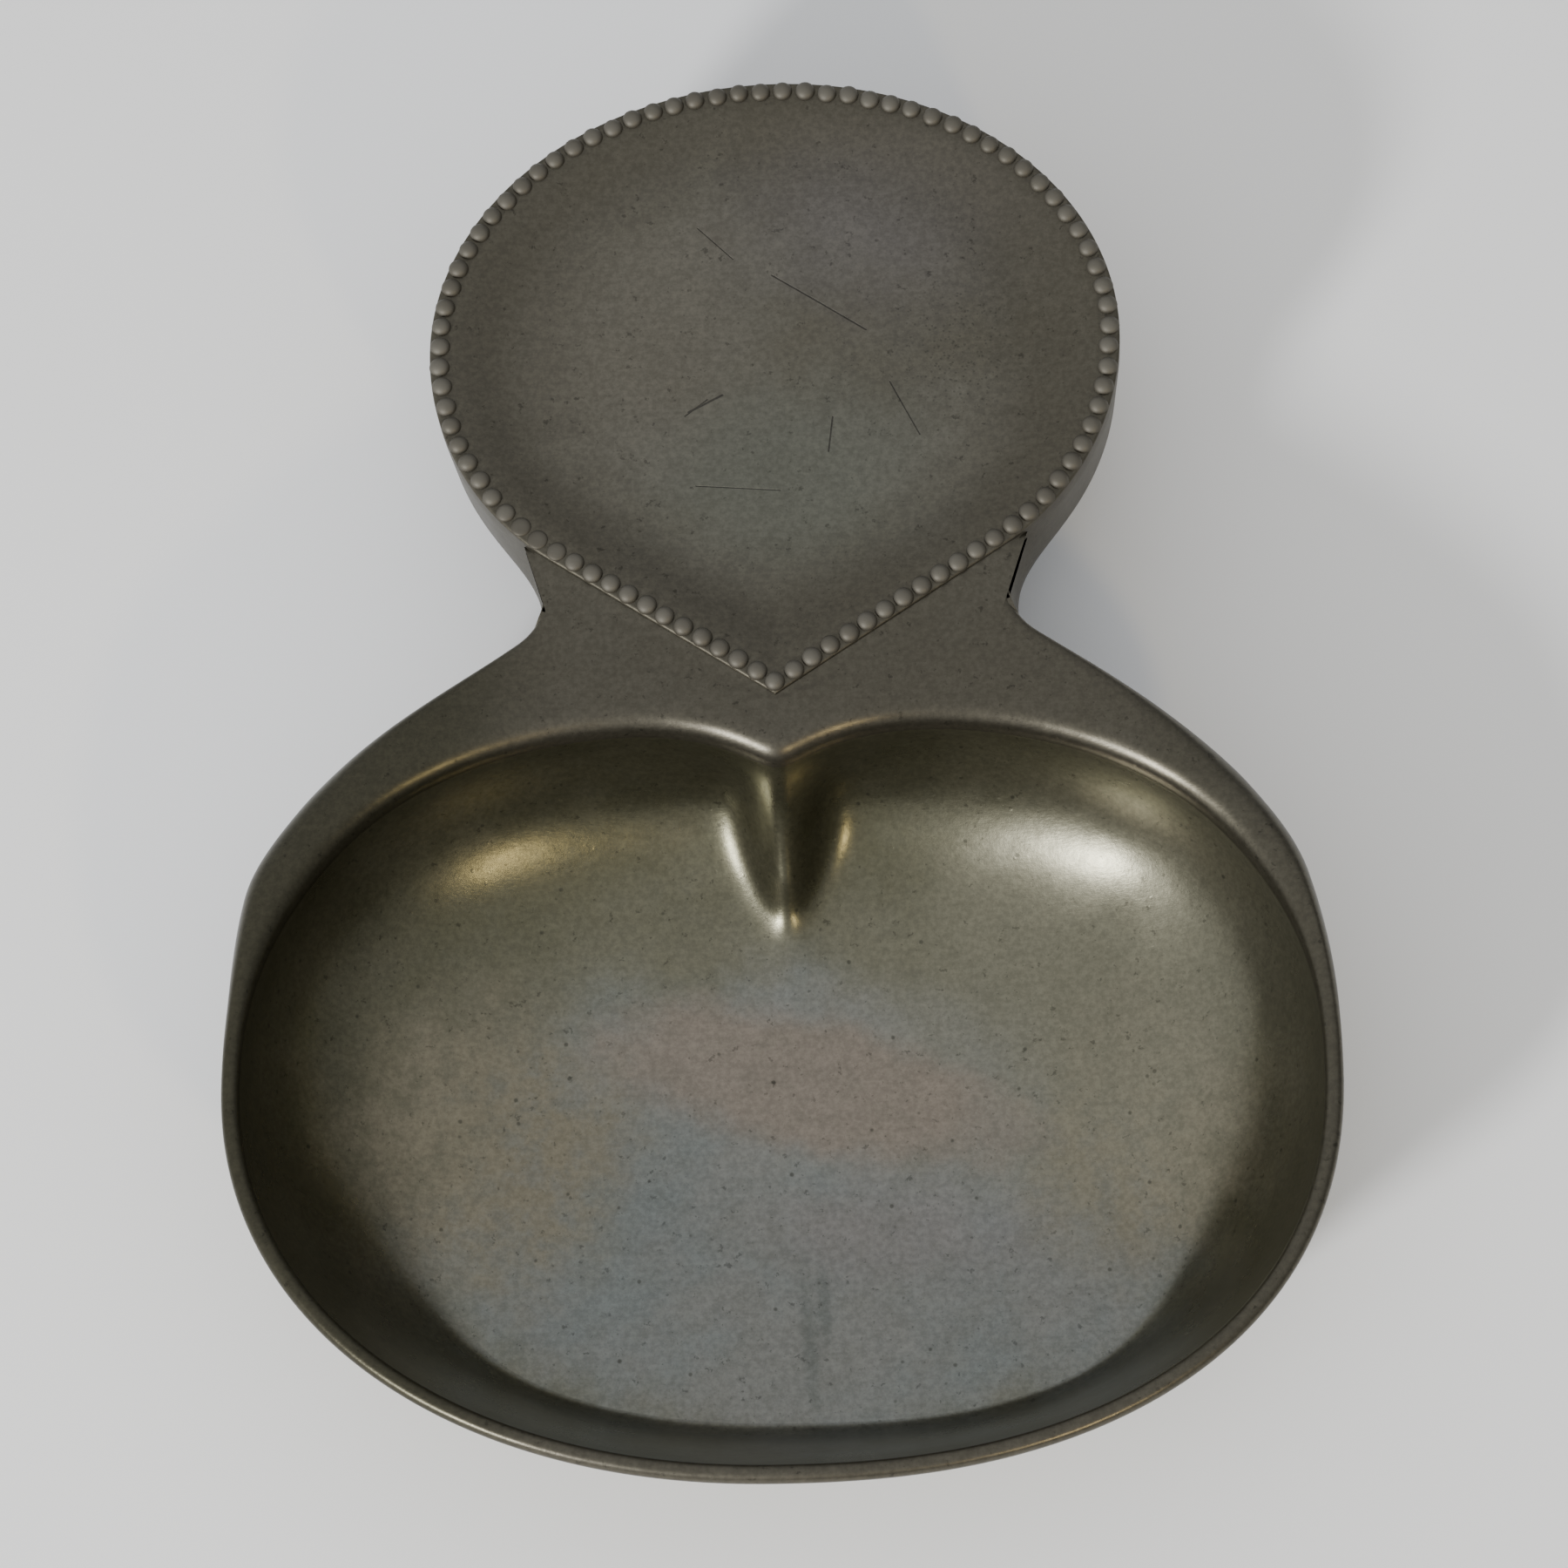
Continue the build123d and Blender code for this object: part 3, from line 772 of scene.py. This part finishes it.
def bowl_material():
    """Dark olive walls with painted shade, a blue-grey floor with painted reflection of the bright
    overhead and a tan patch, mottled sides and dark specks.
    """
    nodes = Nodes("bowl_pewter_patina")
    cloud = nodes.noise(0.05, 5, 0.62, 11.0)
    mottle = nodes.noise(0.30, 5, 0.65, 5.0)

    # height above the table, made uneven, and lowered at the front so that the floor's tone
    # climbs the front wall
    wobble = nodes.math("MULTIPLY", nodes.noise(0.06, 3, 0.6, 2.0), 9.0)
    level = nodes.math("ADD", nodes.part_of_place(2), nodes.math("SUBTRACT", wobble, 4.5))
    front = nodes.ramp(nodes.part_of_place(1), -50.0, -82.0, 0.0, 20.0)
    level = nodes.math("SUBTRACT", level, front)

    # painted shade darkens the walls' own olive and painted reflection of the bright overhead lightens
    # the floor's own blue-grey
    walls = nodes.clouded(cloud, rgb(0.094, 0.090, 0.056), rgb(0.116, 0.110, 0.074), 0.7)
    floor = nodes.clouded(cloud, rgb(0.165, 0.177, 0.165), rgb(0.188, 0.187, 0.168))
    outer_floor = nodes.clouded(cloud, rgb(0.128, 0.122, 0.084), rgb(0.150, 0.143, 0.104))
    middle = nodes.blob((3, -56), (48, 33), -4, 0.22, 0.75, 0.06, 71.0)
    floor = nodes.colour_mix(middle, outer_floor, floor)
    colour = nodes.colour_mix(nodes.ramp(level, 8.5, 2.5), walls, floor)

    # tan patches left and right
    for centre, size, turn, offset in (
        ((-40, -46), (18, 18), 20, 21.0),
        ((46, -45), (15, 17), -10, 33.0),
    ):
        patch = nodes.blob(centre, size, turn, 0.45, 1.2, 0.10, offset)
        patch = nodes.math("MULTIPLY", patch, nodes.ramp(mottle, 0.30, 0.62, 0.45, 0.95))
        colour = nodes.painted(colour, patch, rgb(0.188, 0.168, 0.118))
    # painted light makes the right lobe paler; pinkish middle, faint pink in front of it
    right_lobe_painted_light = nodes.blob((44, -24), (30, 26), 0, 0.5, 0.9, 0.07, 57.0)
    colour = nodes.painted(colour, right_lobe_painted_light, rgb(0.170, 0.162, 0.118), 0.7)
    pink = nodes.blob((2, -37.5), (27, 9.0), -17, 0.28, 0.9, 0.09, 44.0)
    colour = nodes.painted(colour, pink, rgb(0.208, 0.174, 0.138), 0.85)
    pink_front = nodes.blob((14, -58), (15, 6), -5, 0.6, 1.1, 0.08, 52.0)
    colour = nodes.painted(colour, pink_front, rgb(0.196, 0.180, 0.166), 0.6)
    # two dark runs near the front, thin mottling and specks
    for centre, size in (((2.2, -72), (0.9, 8)), ((4.2, -68), (0.8, 5))):
        stain = nodes.blob(centre, size, 4, 0.8, 1.8, 0.5, 61.0)
        colour = nodes.painted(colour, stain, rgb(0.09, 0.10, 0.09), 0.45)
    mottled = nodes.ramp(mottle, 0.60, 0.34, 0.0, 0.16)
    colour = nodes.painted(colour, mottled, rgb(0.105, 0.105, 0.078))
    specks = nodes.speckles(0.30, 0.12, 0.5, 7.0)
    colour = nodes.painted(colour, specks, rgb(0.03, 0.03, 0.022), 0.6)
    rough = nodes.ramp(cloud, 0.3, 0.7, 0.26, 0.34)
    return finish_material(nodes, grained(nodes, colour), rough, fine_relief(nodes))


# ends in mm and width of each scratch on the disc
DISC_SCRATCHES = [
    ((-0.2, 68.8), (12.4, 60.1), 0.16),
    ((-11.5, 48.6), (-7.0, 51.0), 0.22),
    ((-12.0, 48.0), (-9.0, 50.4), 0.14),
    ((7.8, 47.2), (7.2, 42.1), 0.14),
    ((15.5, 52.2), (19.4, 44.2), 0.12),
    ((-10.5, 37.6), (0.7, 36.6), 0.12),
    ((-10.3, 76.3), (-5.5, 71.4), 0.12),
]


def off_disc(nodes):
    """1 on the neck and the shoulders, 0 on the disc behind them."""
    return nodes.ramp(nodes.part_of_place(1), 26.0, 10.0)


def handle_material(name, roughness):
    """Grey-brown metal, browner and darkened by painted shade at the disc's edge, with painted shade
    on the shoulders, pitted and scratched.
    """
    nodes = Nodes(name)
    cloud = nodes.noise(0.045, 5, 0.6, 17.0)
    mottle = nodes.noise(0.22, 5, 0.65, 23.0)
    colour = nodes.clouded(cloud, rgb(0.100, 0.092, 0.070), rgb(0.124, 0.117, 0.094))
    mottled = nodes.ramp(mottle, 0.6, 0.35, 0.0, 0.4)
    colour = nodes.painted(colour, mottled, rgb(0.082, 0.076, 0.062))

    # a greenish, a reddish and a tan patch on the disc, whose sloping edge is browner and darkened by
    # painted shade
    for centre, size, tint, offset in (
        ((2, 38), (17, 13), rgb(0.122, 0.126, 0.102), 81.0),
        ((17, 78), (20, 13), rgb(0.126, 0.115, 0.108), 88.0),
        ((-20, 62), (17, 18), rgb(0.132, 0.121, 0.096), 95.0),
    ):
        colour = nodes.painted(colour, nodes.blob(centre, size, 0, 0.6, 0.9, 0.07, offset), tint, 0.6)
    off_centre = nodes.vector("SUBTRACT", nodes.place, (0, 56, 0))
    off_centre = nodes.vector("LENGTH", nodes.vector("MULTIPLY", off_centre, (1, 1, 0)))
    edge = nodes.ramp(off_centre, 22.0, 40.0, 0.0, 0.75)
    colour = nodes.painted(colour, edge, rgb(0.072, 0.065, 0.048))

    pitted = nodes.blob((25, 57), (9, 10), 0, 0.6, 1.2, 0.2, 14.0)
    pit_field = nodes.math("MULTIPLY", nodes.speckles(1.6, 0.35, 0.7, 31.0), pitted)
    lines = [nodes.scratch(start, end, width) for start, end, width in DISC_SCRATCHES]
    scratches = lines[0]
    for line in lines[1:]:
        scratches = nodes.math("MAXIMUM", scratches, line)
    colour = nodes.painted(colour, pit_field, rgb(0.04, 0.04, 0.032), 0.5)
    colour = nodes.painted(colour, scratches, rgb(0.03, 0.028, 0.025), 0.75)

    # painted shade darkens both shoulders, the left one more
    across = nodes.part_of_place(0)
    right = nodes.math("MULTIPLY", nodes.ramp(across, 42.0, 54.0, 0.0, 0.30), off_disc(nodes))
    left = nodes.math("MULTIPLY", nodes.ramp(across, -26.0, -46.0, 0.0, 0.9), off_disc(nodes))
    colour = nodes.painted(colour, nodes.math("ADD", right, left), rgb(0.044, 0.041, 0.026))

    relief = nodes.math("ADD", fine_relief(nodes), nodes.math("MULTIPLY", pit_field, -0.02))
    relief = nodes.math("ADD", relief, nodes.math("MULTIPLY", scratches, -0.05))
    rough = nodes.ramp(cloud, 0.3, 0.7, roughness - 0.04, roughness + 0.04)
    return finish_material(nodes, grained(nodes, colour), rough, relief)


def bead_material():
    """The handle's metal, brighter on top of the beads from wear, with painted shade dark at their
    feet between them.
    """
    nodes = Nodes("bead_pewter_wear_and_painted_shade")
    # wear brightens the bead tops; painted shade darkens the foot of each bead, between the beads
    wear_and_painted_shade = nodes.ramp(nodes.part_of_place(2), LEDGE_Z / MM, LEDGE_Z / MM + 0.6)
    cloud = nodes.noise(0.12, 4, 0.6, 8.0)
    top = nodes.clouded(cloud, rgb(0.092, 0.084, 0.066), rgb(0.116, 0.108, 0.088))
    colour = nodes.colour_mix(wear_and_painted_shade, rgb(0.070, 0.063, 0.048), top)
    rough = nodes.ramp(cloud, 0.3, 0.7, 0.55, 0.62)
    return finish_material(nodes, colour, rough, fine_relief(nodes), BEAD_METALLIC)


def floor_material():
    """Plain matt off-white."""
    nodes = Nodes("studio_floor_white")
    cloud = nodes.noise(0.004, 2, 0.5)
    tone = nodes.colour_mix(cloud, rgb(0.86, 0.86, 0.855), rgb(0.89, 0.89, 0.885))
    relief = nodes.math("MULTIPLY", nodes.noise(0.5, 2, 0.5), 0.01)
    return finish_material(nodes, tone, 0.8, relief, metallic=0.0)


# ---- stage ----
VIEW_AZIMUTH = math.radians(8.0)
VIEW_ELEVATION = math.radians(68.0)
VIEW_ROLL = math.radians(0.4)
VIEW_DISTANCE = 0.6
VIEW_AIM = Vector((1.0 * MM, -6.0 * MM, RIM_Z))
VIEW_LENS = 106.67
SENSOR_WIDTH = 36.0
LIGHT_DISTANCE = 1.4
FLOOR_HALF_WIDTH = 3.0
PLATE_ROUGHNESS = 0.46
COLLAR_ROUGHNESS = 0.33


def make_camera():
    """Camera high over the bowl's front, a little to the right, with the handle upright."""
    back = Vector((
        math.sin(VIEW_AZIMUTH) * math.cos(VIEW_ELEVATION),
        -math.cos(VIEW_AZIMUTH) * math.cos(VIEW_ELEVATION),
        math.sin(VIEW_ELEVATION),
    ))
    up = Vector((0, 1, 0)) - back * back.y
    up.normalize()
    right = up.cross(back)
    turned_up = up * math.cos(VIEW_ROLL) + right * math.sin(VIEW_ROLL)
    turned_right = right * math.cos(VIEW_ROLL) - up * math.sin(VIEW_ROLL)
    data = bpy.data.cameras.new("studio_camera")
    data.lens = VIEW_LENS
    data.sensor_width = SENSOR_WIDTH
    camera = bpy.data.objects.new("studio_camera", data)
    turn = Matrix((turned_right, turned_up, back)).transposed()
    camera.matrix_world = Matrix.Translation(VIEW_AIM + back * VIEW_DISTANCE) @ turn.to_4x4()
    bpy.context.scene.collection.objects.link(camera)
    bpy.context.scene.camera = camera


def make_light(name, azimuth, elevation, size, power, colour):
    """A soft round light aimed at the origin. Azimuth 0 is in front, 90 is on +X."""
    a, e = math.radians(azimuth), math.radians(elevation)
    direction = Vector((math.sin(a) * math.cos(e), -math.cos(a) * math.cos(e), math.sin(e)))
    data = bpy.data.lights.new(name, "AREA")
    data.shape = "DISK"
    data.size = size
    data.energy = power
    data.color = colour
    light = bpy.data.objects.new(name, data)
    turn = direction.to_track_quat("Z", "Y").to_matrix().to_4x4()
    light.matrix_world = Matrix.Translation(direction * LIGHT_DISTANCE) @ turn
    bpy.context.scene.collection.objects.link(light)


def make_world():
    """Soft grey surroundings: brightest overhead, dimmer low down and dimmest on the right."""
    world = bpy.data.worlds.new("studio_world")
    world.use_nodes = True
    tree = world.node_tree
    tree.nodes.clear()
    place = tree.nodes.new("ShaderNodeTexCoord")
    height = tree.nodes.new("ShaderNodeVectorMath")
    height.operation = "DOT_PRODUCT"
    height.inputs[1].default_value = (-0.40, -0.05, 0.92)
    ramp = tree.nodes.new("ShaderNodeMapRange")
    ramp.interpolation_type = "SMOOTHSTEP"
    ramp.inputs["From Min"].default_value = -0.2
    ramp.inputs["From Max"].default_value = 0.80
    ramp.inputs["To Min"].default_value = 0.38
    ramp.inputs["To Max"].default_value = 1.0
    background = tree.nodes.new("ShaderNodeBackground")
    background.inputs["Color"].default_value = (0.95, 0.97, 1.0, 1.0)
    output = tree.nodes.new("ShaderNodeOutputWorld")
    tree.links.new(place.outputs["Generated"], height.inputs[0])
    tree.links.new(height.outputs["Value"], ramp.inputs["Value"])
    tree.links.new(ramp.outputs["Result"], background.inputs["Strength"])
    tree.links.new(background.outputs[0], output.inputs[0])
    bpy.context.scene.world = world


def make_floor():
    """A wide flat sheet that the bowl stands on."""
    half = FLOOR_HALF_WIDTH
    corners = [(-half, -half, 0), (half, -half, 0), (half, half, 0), (-half, half, 0)]
    mesh = bpy.data.meshes.new("studio_floor")
    mesh.from_pydata(corners, [], [(0, 1, 2, 3)])
    mesh.materials.append(floor_material())
    floor = bpy.data.objects.new("studio_floor", mesh)
    bpy.context.scene.collection.objects.link(floor)


# ---- put it together ----
metal_bowl = bowl_material()
metal_plate = handle_material("plate_pewter_patina", PLATE_ROUGHNESS)
metal_collar = handle_material("collar_pewter_patina", COLLAR_ROUGHNESS)
metal_bead = bead_material()
make_bowl().data.materials.append(metal_bowl)
for piece in (make_rim_wire(), make_collar()):
    piece.data.materials.append(metal_collar)
for piece in (make_plate(), make_skirt()):
    piece.data.materials.append(metal_plate)
make_beads()
for piece in bpy.data.objects:
    if piece.name.endswith(("_dome", "_domes")):
        piece.data.materials.append(metal_bead)

make_floor()
make_world()
make_light("window_left", -40, 28, size=0.20, power=20.0, colour=(1.0, 1.0, 1.0))
make_light("lamp_right", 26, 30, size=0.10, power=3.6, colour=(1.0, 0.80, 0.45))
make_camera()
